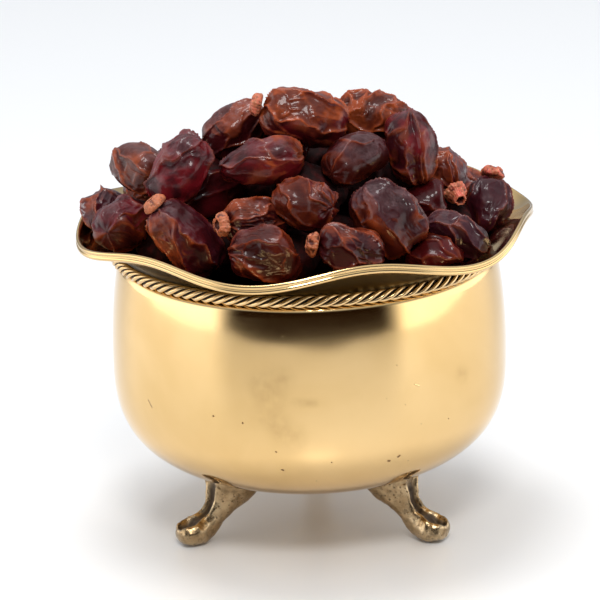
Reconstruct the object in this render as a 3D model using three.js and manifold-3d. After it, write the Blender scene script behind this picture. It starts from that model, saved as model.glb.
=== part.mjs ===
// A footed brass bowl heaped with dried dates. Millimetres, +Z up.
// The origin is on the table, under the bowl's axis. The front of the bowl faces -Y.
import * as THREE from "three";
import { mergeVertices } from "three/addons/utils/BufferGeometryUtils.js";
import Module from "manifold-3d";

const wasm = await Module();
wasm.setup();

const GAP = 0.3; // clearance between pieces that touch
const UP = new THREE.Vector3(0, 0, 1);

// The spun bowl: a round body under a neck, a flared mouth in six waves and a hemmed lip
const BOWL = {
  widest: { radius: 79.3, height: 74 },
  bottom: 24.3, // height of the underside above the table
  roundness: 2.95, // exponent of the lower body's superellipse, 2 is an ellipse
  shoulder: { radius: 76.2, height: 111.5 },
  neck: { radius: 73.3, low: 114.6, high: 118.6 },
  wall: 1.3,
  segments: 48,
};
// Lower-body points, as angles in degrees up from the pole
const LOWER_ANGLES = [14, 27, 39, 51, 62, 74, 90];
const UPPER_STEPS = 3;
// The mouth, before it is waved: the flare under the lip, then the hem round it
const FLARE = [
  [79.6, 122.7],
  [86.2, 125.3],
];
const HEM = [
  [89.9, 126.0],
  [90.7, 127.0],
  [90.1, 127.8],
  [90.7, 128.6],
  [90.0, 129.6],
  [88.7, 129.2],
];
const FLARE_INSIDE = [
  [85.6, 126.7],
  [78.9, 124.1],
];
// The waves of the mouth, largest at the hem, in millimetres and degrees from the front
const WAVE = { lobes: 6, rise: 2.7, draw: 2.1, crest: 15.5, uneven: 0.6, unevenLobes: 3 };

const ROPE = { radius: 76.7, height: 116.6, wire: 2.45, turns: 26, steps: 14, strands: 4 };

// The cast feet: stations from the root under the body to the tip of the toe.
// Each is [distance from the axis, height, half the thickness, half the width].
const FOOT = {
  angles: { left: -62, right: 58, back: 178 },
  stations: [
    [35.5, 27.5, 13.5, 9.5],
    [38.0, 20.5, 12.0, 8.2],
    [42.0, 15.0, 9.3, 5.6],
    [46.3, 10.8, 7.4, 4.9],
    [50.6, 7.2, 6.9, 5.4],
    [54.8, 5.7, 6.2, 6.6],
    [58.6, 5.7, 5.0, 6.2],
    [61.2, 6.0, 2.7, 3.8],
  ],
  // Section across the leg, with a groove down its outer face between two rims
  section: [
    [0.0, 0.62],
    [0.42, 0.8],
    [0.78, 1.0],
    [1.0, 0.55],
    [0.95, -0.15],
    [0.62, -0.78],
    [0.0, -1.0],
    [-0.62, -0.78],
    [-0.95, -0.15],
    [-1.0, 0.55],
    [-0.78, 1.0],
    [-0.42, 0.8],
  ],
  sole: 0.45, // how much of the toe the flat spot takes off
};

// Where the heap is looked at from, so that each date can be placed as the eye sees it
const VIEW = { eye: [-3.3, -1200, 467.3], down: 17.3, lean: 1.63, mark: [0, 0, 116.4] };

// The dates that show from the front. across and up are measured in the picture plane from the
// middle of the rope ring, depth is the distance behind the bowl's axis. turn is the way the head
// end points in that plane, in degrees from the right, and toward is how far it tips to the eye.
const SHOWN = [
  { across: -82, up: 10, depth: 3, long: 31, wide: 21.5, turn: 75, toward: -40 },
  { across: -73, up: 9, depth: -20, long: 32, wide: 23, turn: 215, toward: 58 },
  { across: -67, up: 30.5, depth: -8, long: 32, wide: 21, turn: -35, toward: 45 },
  { across: -51, up: 30, depth: -26, long: 33, wide: 24.5, turn: 55, toward: 12 },
  { across: -48.5, up: 2.5, depth: -44, long: 36, wide: 23.5, turn: 132, toward: 10, cap: "ring" },
  { across: -28.7, up: 46.5, depth: 4, long: 31, wide: 22, turn: 30, toward: 0 },
  { across: -18, up: 32.5, depth: -27, long: 37, wide: 22, turn: 12, toward: 0 },
  { across: -1, up: 51.8, depth: -12, long: 38, wide: 24.5, turn: 167, toward: 5, cap: "ring" },
  { across: 26.5, up: 51.5, depth: 6, long: 33, wide: 21, turn: -8, toward: 0 },
  { across: 19.5, up: 33.5, depth: -22, long: 31, wide: 23, turn: 35, toward: -40 },
  { across: 42, up: 38.5, depth: -12, long: 34, wide: 21.5, turn: 97, toward: 0 },
  { across: 54, up: 29, depth: 4, long: 31, wide: 20.5, turn: -60, toward: 50, cap: "tube" },
  { across: -0.5, up: 16.5, depth: -45, long: 28, wide: 20.5, turn: -10, toward: 35 },
  { across: -20.5, up: 9.5, depth: -43, long: 30, wide: 20.5, turn: 187, toward: 32, cap: "tube" },
  { across: -14.8, up: -4, depth: -61, long: 34, wide: 23.5, turn: 3, toward: 5 },
  { across: 17.5, up: -2, depth: -60, long: 29, wide: 20.5, turn: 170, toward: 8, cap: "ring" },
  { across: 33, up: 10, depth: -44, long: 37, wide: 27.5, turn: 126, toward: 5 },
  { across: 60, up: 2.5, depth: -39, long: 30, wide: 21.5, turn: -22, toward: 5 },
  { across: 72, up: 14.3, depth: 3, long: 31, wide: 21.5, turn: 80, toward: -20, cap: "ring" },
  { across: 50, up: -3.5, depth: -45, long: 29, wide: 20, turn: -10, toward: 0 },
  { across: -37, up: 21, depth: -16, long: 30, wide: 21, turn: 20, toward: -20 },
  { across: 47, up: 17, depth: -13, long: 29, wide: 20.5, turn: 20, toward: 0 },
  { across: -9, up: 41, depth: 5, long: 31, wide: 21, turn: 80, toward: 0 },
];

// The far side of the heap, on a dome of the same height, and the dates that hold it up
const HEAP = {
  top: 165.5, // height of the topmost centres
  fall: 40, // how far the dome falls by its edge
  edge: 76,
  spiral: 50, // places on the whole dome, of which the front ones are taken
  room: 20, // closest that a centre comes to one already placed
  long: [31, 36],
  wide: [21, 24],
  front: -8, // depth from which the dates of this side are placed
  cappedWithin: 52, // only dates well inside the mouth have caps on this side
  cappedEvery: 3,
  rounds: 60, // of easing apart what overlaps, by a share of the overlap each time
  ease: 0.25,
};
const NEAR = 48; // middles further apart than this can't touch
const PRESSING = -3; // least overlap at which a neighbour still shapes a date
const CORE = { layers: [[144, 40], [122.5, 58]], long: 35, wide: 26, room: 14 };
const FILL = { layers: [99, 75, 51], long: 37, wide: 27, spacing: 20.5, smallest: 6, skew: 0.25 };
const RING_PITCH = 33.5; // along a ring of hidden dates, so that each touches the next
const GOLDEN_ANGLE = 137.50776;

// Lengthwise ridges and sunken panels of a dried date, as shares of its radius
const SKIN = { ridges: 5, ridge: 0.055, panels: 4, panel: 0.1, panelSize: [0.45, 0.75] };
const MESH = { shown: [12, 8], far: [11, 6], core: [6, 4], fill: [5, 3] };
const METAL_CLEARANCE = 1.5; // between a date and the bowl

// The cap at a date's head: radius and height from its seat, with the hole down its middle
const CAP = {
  seat: 1.7, // how far the date's head is cut back under its cap
  sides: 8,
  tube: [
    [0, 0],
    [4.2, 0],
    [4.9, 1.4],
    [4.4, 2.9],
    [3.6, 3.8],
    [3.0, 7.2],
    [2.0, 7.4],
    [1.6, 4.6],
    [0, 4.4],
  ],
  ring: [
    [0, 0],
    [3.9, 0],
    [4.6, 1.5],
    [4.1, 3.1],
    [3.1, 4.2],
    [1.9, 4.3],
    [1.5, 2.3],
    [0, 2.1],
  ],
  reach: 4.0, // middle of the cap's clearance ball, from the seat
  clear: 5.4,
};

function seeded(seed) {
  let state = seed >>> 0;
  return () => {
    state = (state + 0x6d2b79f5) >>> 0;
    let t = Math.imul(state ^ (state >>> 15), 1 | state);
    t = (t + Math.imul(t ^ (t >>> 7), 61 | t)) ^ t;
    return ((t ^ (t >>> 14)) >>> 0) / 4294967296;
  };
}
const random = seeded(2417);
const between = (low, high) => low + (high - low) * random();
const radians = THREE.MathUtils.degToRad;

// A geometry with its shared vertices merged and no collapsed faces
function closed(geometry) {
  const bare = new THREE.BufferGeometry().setAttribute("position", geometry.getAttribute("position"));
  if (geometry.index) bare.setIndex(geometry.index);
  const merged = mergeVertices(bare, 1e-3);
  const kept = [];
  const corners = merged.index.array;
  for (let i = 0; i < corners.length; i += 3) {
    const [a, b, c] = corners.slice(i, i + 3);
    if (a !== b && b !== c && c !== a) kept.push(a, b, c);
  }
  return merged.setIndex(kept);
}

function solid(geometry) {
  const whole = closed(geometry);
  return new wasm.Manifold(
    new wasm.Mesh({
      numProp: 3,
      vertProperties: new Float32Array(whole.getAttribute("position").array),
      triVerts: new Uint32Array(whole.index.array),
    }),
  );
}

function geometryOf(manifold) {
  const mesh = manifold.getMesh();
  return new THREE.BufferGeometry()
    .setAttribute("position", new THREE.BufferAttribute(mesh.vertProperties, 3))
    .setIndex(new THREE.BufferAttribute(mesh.triVerts, 1));
}

// A closed body from rings of points. A ring of one point closes an end.
function lofted(rings, endless = false) {
  const positions = rings.flat(2);
  const starts = [];
  let count = 0;
  for (const ring of rings) {
    starts.push(count);
    count += ring.length;
  }
  const index = [];
  const last = endless ? rings.length : rings.length - 1;
  for (let i = 0; i < last; i++) {
    const j = (i + 1) % rings.length;
    const [a, b] = [rings[i].length, rings[j].length];
    for (let k = 0; k < Math.max(a, b); k++) {
      const [p, q] = [starts[i] + (k % a), starts[i] + ((k + 1) % a)];
      const [r, s] = [starts[j] + (k % b), starts[j] + ((k + 1) % b)];
      if (a > 1) index.push(p, q, s);
      if (b > 1) index.push(p, s, r);
    }
  }
  return new THREE.BufferGeometry()
    .setAttribute("position", new THREE.BufferAttribute(new Float32Array(positions), 3))
    .setIndex(index);
}

// The bowl's outline, from the pole up
function bodyOutline(out = 0) {
  const { widest, bottom, roundness, shoulder } = BOWL;
  const points = [[0, bottom - out]];
  for (const degrees of LOWER_ANGLES) {
    const across = Math.sin(radians(degrees)) ** (2 / roundness);
    const down = Math.max(0, Math.cos(radians(degrees))) ** (2 / roundness);
    points.push([(widest.radius + out) * across, widest.height - (widest.height - bottom + out) * down]);
  }
  for (let i = 1; i <= UPPER_STEPS; i++) {
    const t = i / UPPER_STEPS;
    const height = widest.height + t * (shoulder.height - widest.height);
    points.push([widest.radius + out - t * t * (widest.radius - shoulder.radius), height]);
  }
  return points;
}

function bowlInside() {
  const { neck, wall } = BOWL;
  return [
    ...bodyOutline(-wall),
    [neck.radius - wall, neck.low],
    [neck.radius - wall, neck.high + wall / 2],
    ...[...FLARE_INSIDE].reverse(),
  ];
}

// How far the mouth is waved at a height: none at the neck, all of it at the hem
function waveShare(height) {
  const t = (height - BOWL.neck.high) / (HEM[0][1] - BOWL.neck.high);
  return THREE.MathUtils.clamp(t, 0, 1) ** 1.3;
}
function wave(angle) {
  const turn = WAVE.lobes * (angle - radians(WAVE.crest));
  return {
    rise: WAVE.rise * Math.cos(turn) + WAVE.uneven * Math.cos(WAVE.unevenLobes * angle),
    draw: WAVE.draw * Math.cos(turn),
  };
}
const angleOf = (x, y) => Math.atan2(x, -y); // from the front, towards +X

function turned(outline, segments) {
  const points = outline.map(([radius, height]) => new THREE.Vector2(radius, height));
  return closed(new THREE.LatheGeometry(points, segments).rotateX(Math.PI / 2));
}

function bowl() {
  const { neck, segments } = BOWL;
  const outline = [
    ...bodyOutline(),
    [neck.radius, neck.low],
    [neck.radius, neck.high],
    ...FLARE,
    ...HEM,
    ...bowlInside().reverse(),
  ];
  const geometry = turned(outline, segments);
  const points = geometry.getAttribute("position");
  for (let i = 0; i < points.count; i++) {
    const [x, y, z] = [points.getX(i), points.getY(i), points.getZ(i)];
    const share = waveShare(z);
    if (share === 0) continue;
    const { rise, draw } = wave(angleOf(x, y));
    const radius = Math.hypot(x, y);
    const scale = (radius - share * draw) / radius;
    points.setXYZ(i, x * scale, y * scale, z + share * rise);
  }
  return geometry;
}

// Whether a point is in the hollow of the bowl or in the air over it, clear of the metal
const LIP_INSIDE = HEM[HEM.length - 1];
const HOLLOW = [...bowlInside(), LIP_INSIDE];
const LIP_TOP = Math.max(...HEM.map(([, height]) => height));
function clearOfBowl(point, clearance) {
  const { rise, draw } = wave(angleOf(point.x, point.y));
  if (point.z > LIP_TOP + rise + clearance) return true;
  let height = point.z;
  for (let i = 0; i < 4; i++) height = point.z - waveShare(height) * rise;
  if (height < HOLLOW[0][1] + clearance) return false;
  let limit = LIP_INSIDE[0];
  for (let i = 1; i < HOLLOW.length; i++) {
    const [[r0, z0], [r1, z1]] = [HOLLOW[i - 1], HOLLOW[i]];
    if (height >= z0 && height <= z1) limit = r0 + ((r1 - r0) * (height - z0)) / (z1 - z0 || 1);
  }
  return Math.hypot(point.x, point.y) < limit - waveShare(height) * draw - clearance;
}

// The rope ring: a bundle of strands twisted along a circle, each a corner of its section
function ropeRing() {
  const { radius, height, wire, turns, steps, strands } = ROPE;
  const rings = [];
  for (let i = 0; i < turns * steps; i++) {
    const angle = (2 * Math.PI * i) / (turns * steps);
    const twist = (2 * Math.PI * i) / steps;
    const ring = [];
    for (let k = 0; k < strands; k++) {
      const around = -(2 * Math.PI * k) / strands + twist;
      const out = radius + wire * Math.cos(around);
      ring.push([out * Math.sin(angle), -out * Math.cos(angle), height + wire * Math.sin(around)]);
    }
    rings.push(ring);
  }
  return lofted(rings, true);
}

// One cast foot, pointing along +X, cut to the underside of the body and flat where it stands
function foot() {
  const { stations, section, sole } = FOOT;
  const rings = stations.map(([out, height, thick, wide], i) => {
    const before = stations[Math.max(0, i - 1)];
    const after = stations[Math.min(stations.length - 1, i + 1)];
    const along = new THREE.Vector2(after[0] - before[0], after[1] - before[1]).normalize();
    return section.map(([side, front]) => {
      const step = thick * front;
      return [out - along.y * step, wide * side, height - sole + along.x * step];
    });
  });
  const last = stations[stations.length - 1];
  const first = stations[0];
  rings.unshift([[first[0], 0, first[1] + 2]]);
  rings.push([[last[0] + 0.8, 0, last[1] - sole]]);
  const under = solid(new THREE.BoxGeometry(60, 60, 20).translate(50, 0, -10));
  const body = solid(turned([...bodyOutline(GAP), [0, BOWL.shoulder.height]], BOWL.segments));
  return { leg: solid(lofted(rings.reverse())).subtract(under), body };
}

// Half the size of an egg-shaped thing along a direction
function reach(thing, direction) {
  const along = thing.axis.dot(direction);
  return Math.sqrt((thing.wide ** 2 * (1 - along ** 2) + thing.long ** 2 * along ** 2) / 4);
}

// The plane between two things that touch, where they overlap least, found by small steps downhill
const PARTING = { steps: 40, step: 0.02 };
function parting(a, b) {
  const apart = b.centre.clone().sub(a.centre);
  const normal = apart.clone().normalize();
  for (let i = 0; i < PARTING.steps; i++) {
    const slope = apart.clone();
    for (const thing of [a, b]) {
      const along = thing.axis.dot(normal);
      const size = reach(thing, normal);
      slope.addScaledVector(normal, -(thing.wide ** 2) / 4 / size);
      slope.addScaledVector(thing.axis, (-(thing.long ** 2 - thing.wide ** 2) * along) / 4 / size);
    }
    slope.addScaledVector(normal, -slope.dot(normal));
    normal.addScaledVector(slope, PARTING.step).normalize();
  }
  const overlap = reach(a, normal) + reach(b, normal) - apart.dot(normal);
  return { normal, overlap };
}

// A date's own frame: its head end along +Z
function poseOf(axis, spin) {
  const tilt = new THREE.Quaternion().setFromUnitVectors(UP, axis);
  return tilt.multiply(new THREE.Quaternion().setFromAxisAngle(UP, spin));
}

function makeDate(centre, axis, long, wide, group, cap = null) {
  const panels = [];
  for (let i = 0; i < SKIN.panels; i++) {
    const way = new THREE.Vector3(between(-1, 1), between(-1, 1), between(-0.9, 0.9)).normalize();
    panels.push({ way, size: between(...SKIN.panelSize), depth: SKIN.panel * between(0.6, 1.2) });
  }
  const date = { centre, axis: axis.normalize(), long, wide, group, cap, panels };
  date.pose = poseOf(date.axis, between(0, 2 * Math.PI));
  date.drift = between(-0.7, 0.7);
  date.planes = [];
  return date;
}

// Radius of the dried date along a direction in its own frame, before its neighbours press on it
function skinRadius(date, way) {
  const along = way.z;
  const out = Math.hypot(way.x, way.y);
  const egg = 1 / Math.hypot(along / (date.long / 2), out / (date.wide / 2));
  const around = Math.atan2(way.y, way.x);
  const ridges = Math.cos(SKIN.ridges * around + date.drift * 3 * along) * out ** 1.5;
  let share = 1 + SKIN.ridge * (ridges - 0.4);
  for (const { way: middle, size, depth } of date.panels) {
    const away = middle.angleTo(way) / size;
    share -= depth * Math.exp(-away * away);
  }
  return egg * share;
}

const HALVINGS = 12; // tries to find how far a date reaches before it meets the bowl
function dateGeometry(date, [around, along], relief = true) {
  const way = new THREE.Vector3();
  const point = new THREE.Vector3();
  function vertex(polar, azimuth) {
    way.setFromSphericalCoords(1, polar, azimuth);
    way.set(way.x, way.z, way.y); // the pole is the head end
    const plain = 1 / Math.hypot(way.z / (date.long / 2), Math.hypot(way.x, way.y) / (date.wide / 2));
    let radius = relief ? skinRadius(date, way) : plain;
    const world = way.clone().applyQuaternion(date.pose);
    for (const { normal, stop } of date.planes) {
      const slant = normal.dot(world);
      if (slant > 1e-6) radius = Math.min(radius, stop / slant);
    }
    const fits = (size) => clearOfBowl(point.copy(date.centre).addScaledVector(world, size), METAL_CLEARANCE);
    let low = fits(radius) ? radius : 0;
    for (let i = 0; i < HALVINGS && low < radius; i++) {
      const middle = (low + radius) / 2;
      if (fits(middle)) low = middle;
      else radius = middle;
    }
    return way.clone().multiplyScalar(Math.max(low, 1)).toArray();
  }
  const rings = [[vertex(0, 0)]];
  for (let i = 1; i < along; i++) {
    const ring = [];
    for (let k = 0; k < around; k++) ring.push(vertex((Math.PI * i) / along, (2 * Math.PI * k) / around));
    rings.push(ring);
  }
  rings.push([vertex(Math.PI, 0)]);
  return lofted(rings);
}

const VIEW_BASIS = (() => {
  const [down, lean] = [radians(VIEW.down), radians(VIEW.lean)];
  const right = new THREE.Vector3(1, 0, 0);
  const upright = new THREE.Vector3(0, Math.sin(down), Math.cos(down));
  return {
    eye: new THREE.Vector3(...VIEW.eye),
    mark: new THREE.Vector3(...VIEW.mark),
    across: right.clone().multiplyScalar(Math.cos(lean)).addScaledVector(upright, -Math.sin(lean)),
    up: upright.clone().multiplyScalar(Math.cos(lean)).addScaledVector(right, Math.sin(lean)),
    toward: new THREE.Vector3(0, -Math.cos(down), Math.sin(down)),
  };
})();

function seenAt({ across, up, depth }) {
  const point = VIEW_BASIS.mark
    .clone()
    .addScaledVector(VIEW_BASIS.across, across)
    .addScaledVector(VIEW_BASIS.up, up);
  const ray = point.sub(VIEW_BASIS.eye);
  return VIEW_BASIS.eye.clone().addScaledVector(ray, (depth - VIEW_BASIS.eye.y) / ray.y);
}
function seenAxis({ turn, toward }) {
  const flat = Math.cos(radians(toward));
  return new THREE.Vector3()
    .addScaledVector(VIEW_BASIS.across, flat * Math.cos(radians(turn)))
    .addScaledVector(VIEW_BASIS.up, flat * Math.sin(radians(turn)))
    .addScaledVector(VIEW_BASIS.toward, Math.sin(radians(toward)));
}

const domeHeight = (radius) => HEAP.top - HEAP.fall * (radius / HEAP.edge) ** 2;

// The far side: places on a spiral over the dome that no date has taken, eased apart
function farDates(taken) {
  const far = [];
  for (let i = 0; i < HEAP.spiral; i++) {
    const radius = HEAP.edge * Math.sqrt((i + 0.5) / HEAP.spiral);
    const angle = radians(i * GOLDEN_ANGLE);
    const centre = new THREE.Vector3(radius * Math.sin(angle), -radius * Math.cos(angle), domeHeight(radius));
    const [long, wide] = [between(...HEAP.long), between(...HEAP.wide)];
    const heading = between(0, 2 * Math.PI);
    const crowded = [...taken, ...far].some((date) => date.centre.distanceTo(centre) < HEAP.room);
    if (centre.y < HEAP.front || crowded) continue;
    const slope = (-2 * HEAP.fall * radius) / HEAP.edge ** 2;
    const outward = new THREE.Vector3(Math.sin(angle), -Math.cos(angle), slope);
    const sideways = new THREE.Vector3(Math.cos(angle), Math.sin(angle), 0);
    const axis = outward.multiplyScalar(Math.cos(heading)).addScaledVector(sideways, Math.sin(heading));
    const capped = radius < HEAP.cappedWithin && far.length % HEAP.cappedEvery === 1;
    far.push(makeDate(centre, axis, long, wide, null, capped ? "tube" : null));
  }
  for (let round = 0; round < HEAP.rounds; round++) {
    for (const date of far) {
      for (const other of [...taken, ...far]) {
        if (other === date || date.centre.distanceTo(other.centre) > NEAR) continue;
        const { normal, overlap } = parting(date, other);
        if (overlap > 0) date.centre.addScaledVector(normal, -overlap * HEAP.ease);
      }
      const radius = Math.min(Math.hypot(date.centre.x, date.centre.y), HEAP.edge - 1);
      const angle = angleOf(date.centre.x, date.centre.y);
      date.centre.set(radius * Math.sin(angle), -radius * Math.cos(angle), domeHeight(radius));
    }
  }
  return far;
}

// A flat layer of dates laid round the axis, ring inside ring, each touching the next
function layer(height, outer, size, group, keep = () => true) {
  const dates = [];
  for (let radius = outer; radius > FILL.smallest; radius -= FILL.spacing) {
    const count = Math.max(1, Math.round((2 * Math.PI * radius) / RING_PITCH));
    const start = between(0, 2 * Math.PI);
    for (let i = 0; i < count; i++) {
      const angle = start + (2 * Math.PI * i) / count;
      const centre = new THREE.Vector3(radius * Math.sin(angle), -radius * Math.cos(angle), height);
      const heading = angle + between(-FILL.skew, FILL.skew);
      const axis = new THREE.Vector3(Math.cos(heading), Math.sin(heading), 0);
      if (keep(centre)) dates.push(makeDate(centre, axis, size.long, size.wide, group));
    }
  }
  return dates;
}

function capCentre(date) {
  return date.centre.clone().addScaledVector(date.axis, date.long / 2 - CAP.seat + CAP.reach);
}

// Every date keeps to its own side of the planes between it and its neighbours
function pressTogether(dates) {
  for (const date of dates) {
    if (date.cap) date.planes.push({ normal: date.axis, stop: date.long / 2 - CAP.seat - GAP });
    for (const other of dates) {
      if (other === date || date.centre.distanceTo(other.centre) > NEAR) continue;
      if (other.cap) {
        const ball = { centre: capCentre(other), axis: UP, long: 2 * CAP.clear, wide: 2 * CAP.clear };
        const { normal, overlap } = parting(date, ball);
        const stop = reach(date, normal) - overlap - GAP;
        if (overlap > PRESSING) date.planes.push({ normal, stop });
      }
      if (date.group && date.group === other.group) continue;
      const { normal, overlap } = parting(date, other);
      const stop = reach(date, normal) - overlap / 2 - GAP / 2;
      if (overlap > PRESSING) date.planes.push({ normal, stop });
    }
  }
}

const material = (color, roughness, metalness) =>
  new THREE.MeshStandardMaterial({ color, roughness, metalness });
const BRASS = material(0xc9a25f, 0.3, 1);
const ROPE_BRASS = material(0xbf9a58, 0.35, 1);
const CAST_BRASS = material(0x8f6f45, 0.5, 1);
const SKINS = [0x4a1418, 0x5a1c14, 0x6b2c16, 0x3a141d].map((color) => material(color, 0.3, 0));
const HIDDEN_SKIN = material(0x3a1212, 0.45, 0);
const CAP_SKIN = material(0xb4543a, 0.75, 0);

const object = new THREE.Group();
const vessel = new THREE.Group();
const heap = new THREE.Group();
object.add(vessel, heap);

function place(group, name, geometry, finish) {
  const mesh = new THREE.Mesh(geometry, finish);
  mesh.name = name;
  group.add(mesh);
  return mesh;
}

place(vessel, "bowl", bowl(), BRASS);
place(vessel, "rope_ring", ropeRing(), ROPE_BRASS);

for (const [side, degrees] of Object.entries(FOOT.angles)) {
  const { leg, body } = foot();
  const stand = new THREE.Group();
  stand.rotation.z = radians(degrees - 90);
  vessel.add(stand);
  const turn = new wasm.Manifold(body.getMesh()).rotate([0, 0, 90 - degrees]);
  place(stand, `foot_${side}`, geometryOf(leg.subtract(turn)), CAST_BRASS);
}

const shown = SHOWN.map((row) =>
  makeDate(seenAt(row), seenAxis(row), row.long, row.wide, null, row.cap),
);
const far = farDates(shown);
const outside = [...shown, ...far];
const core = CORE.layers.flatMap(([height, outer]) =>
  layer(height, outer, CORE, "dates_core", (centre) =>
    outside.every((date) => date.centre.distanceTo(centre) > CORE.room),
  ),
);
// How far out the middle of a date can lie at a height inside the body
const insideRadius = (height) => {
  let radius = BOWL.widest.radius;
  while (radius > 0 && !clearOfBowl(new THREE.Vector3(radius, 0, height), FILL.wide / 2 - 2)) radius -= 0.5;
  return radius;
};
const fill = FILL.layers.map((height, i) =>
  layer(height, insideRadius(height), FILL, `dates_inside_${i + 1}`),
);
pressTogether([...outside, ...core, ...fill.flat()]);

outside.forEach((date, i) => {
  const name = `date_${String(i + 1).padStart(2, "0")}`;
  const detail = i < shown.length ? MESH.shown : MESH.far;
  const fruit = place(heap, name, dateGeometry(date, detail), SKINS[i % SKINS.length]);
  fruit.position.copy(date.centre);
  fruit.quaternion.copy(date.pose);
  if (!date.cap) return;
  const cap = place(heap, `${name}_cap`, turned(CAP[date.cap], CAP.sides), CAP_SKIN);
  cap.position.copy(date.centre).addScaledVector(date.axis, date.long / 2 - CAP.seat);
  cap.quaternion.copy(date.pose);
});

// The body that holds most of a layer: a date that touches none of the others is left out
function mostOf(manifold) {
  const bodies = manifold.decompose();
  return bodies.reduce((most, body) => (body.volume() > most.volume() ? body : most));
}

// Hidden dates touch all round, so each layer is joined in one body
for (const dates of [core, ...fill]) {
  const detail = dates === core ? MESH.core : MESH.fill;
  const whole = dates
    .map((date) =>
      solid(dateGeometry(date, detail, false).applyQuaternion(date.pose).translate(...date.centre)),
    )
    .reduce((joined, next) => joined.add(next));
  place(heap, dates[0].group, geometryOf(mostOf(whole)), HIDDEN_SKIN);
}

export default object;
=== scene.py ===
"""A footed brass bowl heaped with dried dates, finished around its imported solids.

Shapes are worked out in millimetres and made in metres, +Z up. The front of the bowl faces -Y.
"""

import itertools
import math

import bpy
import numpy as np
from bpy.props import FloatProperty, FloatVectorProperty, IntProperty, PointerProperty
from mathutils import Matrix, Vector
from mathutils.bvhtree import BVHTree


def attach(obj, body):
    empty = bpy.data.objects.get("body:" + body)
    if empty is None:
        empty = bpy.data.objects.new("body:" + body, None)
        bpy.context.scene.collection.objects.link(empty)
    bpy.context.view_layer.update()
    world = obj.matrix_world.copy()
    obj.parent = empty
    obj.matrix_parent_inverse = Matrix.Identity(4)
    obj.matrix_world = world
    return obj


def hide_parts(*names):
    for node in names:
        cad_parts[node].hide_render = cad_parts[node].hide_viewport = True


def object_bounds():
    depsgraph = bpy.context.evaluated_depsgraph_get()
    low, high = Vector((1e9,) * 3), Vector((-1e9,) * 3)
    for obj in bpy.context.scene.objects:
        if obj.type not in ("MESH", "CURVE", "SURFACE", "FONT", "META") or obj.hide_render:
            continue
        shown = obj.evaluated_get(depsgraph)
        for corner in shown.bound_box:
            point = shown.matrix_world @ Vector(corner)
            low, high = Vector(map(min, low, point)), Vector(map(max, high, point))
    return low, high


bl_info = {
    "name": "Bowl of dried dates",
    "version": (1, 0, 0),
    "blender": (4, 5, 0),
    "location": "View3D > Sidebar > Dates",
    "description": "Makes the brass bowl, its rope ring and feet, and the dates heaped in it",
    "category": "Object",
}

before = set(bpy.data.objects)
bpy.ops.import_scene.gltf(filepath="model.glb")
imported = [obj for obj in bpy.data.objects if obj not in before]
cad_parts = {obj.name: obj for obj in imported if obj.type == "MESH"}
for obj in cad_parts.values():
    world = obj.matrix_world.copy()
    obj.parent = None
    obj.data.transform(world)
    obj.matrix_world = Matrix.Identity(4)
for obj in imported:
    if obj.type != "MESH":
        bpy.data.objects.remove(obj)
CAD_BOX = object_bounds()
MM = 0.001

# The bowl's section, radius and height: a superellipse below the widest place, then a low curve
BOTTOM = 24.3
ROUNDNESS = 2.95
SHOULDER = (76.2, 111.5)
WALL = 1.3
NECK_TO_LIP = [
    (75.5, 113.0), (74.2, 114.4), (73.4, 115.4), (73.3, 118.2),
    (75.2, 120.4), (79.6, 122.7), (86.2, 125.3), (89.0, 125.95),
]
LOWER_BEAD = {"centre": (89.75, 126.95), "radius": 0.95, "turn": (-105, 62)}
UPPER_BEAD = {"centre": (89.8, 128.8), "radius": 0.82, "turn": (-62, 150)}
LIP_TO_NECK = [
    (88.6, 128.75), (87.6, 127.9), (85.6, 126.75), (78.9, 124.1),
    (74.0, 121.4), (72.0, 118.6), (72.0, 115.2),
]
# The waves of the mouth: how far they rise and draw in at the lip, and where a crest stands
WAVE = {"lobes": 6, "rise": 2.7, "draw": 2.1, "crest": 15.5, "uneven": 0.6, "uneven_lobes": 3}
WAVE_FROM = 118.6
WAVE_TO = 126.0
WAVE_BEND = 1.3

# How far apart the section's points are
SPACING = {"outside": 1.7, "neck": 1.0, "beads": 0.36, "back": 1.2, "inside": 3.2}
# Heights between which the outside is coarsely brushed, and where it is darkened under the mouth with
# tarnish and painted shade:
# where each band starts, is full, starts to fade and has faded
BRUSHED = (104, 111, 112, 114)
TARNISHED_AND_SHADED = (112.5, 115.5, 124.6, 126.3)

# The rope: its strands, how finely each is made, and the steps of the core under them
STRANDS = 4
STRAND_STEPS = 18
STRAND_SIDES = 12
STRAND_SHARE = 0.375
CORE_STEPS = 160
CORE_SIDES = 8

FOOT_ANGLES = {"foot_left": -62, "foot_right": 58, "foot_back": 178}
# Stations down a foot: distance from the axis, height, half the thickness, half the width,
# and how deep the groove down its face is, as a share of the thickness
FOOT_STATIONS = [
    (34.8, 30.0, 14.2, 10.6, 0.10),
    (35.5, 27.5, 13.5, 9.7, 0.16),
    (38.0, 20.5, 12.0, 8.0, 0.28),
    (42.0, 15.0, 9.3, 5.6, 0.40),
    (46.3, 10.8, 7.4, 4.8, 0.42),
    (50.6, 7.2, 6.9, 5.2, 0.34),
    (54.8, 5.7, 6.2, 6.6, 0.62),
    (58.6, 5.7, 5.0, 6.2, 0.85),
    (60.8, 6.0, 4.0, 4.9, 0.60),
    (62.0, 6.1, 2.0, 2.6, 0.20),
]
# How much thinner a foot is behind its waist and before its knee, as a share, at which height,
# and how far up and down
FOOT_WAIST = (0.46, 14.5, 7.5)
FOOT_KNEE = (0.34, 11.0, 4.0)
# How far out the groove down the face reaches, and how far out the middle of each rim beside it
# lies and how wide the rim is, as shares of half the foot's width
FOOT_GROOVE = 0.44
FOOT_RIM = (0.78, 0.2)
# How far the stations are lowered on to the table, and how far a foot's root is let into the body
FOOT_SOLE = 0.45
FOOT_SINK = 0.45
FOOT_SIDES = 80

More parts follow.
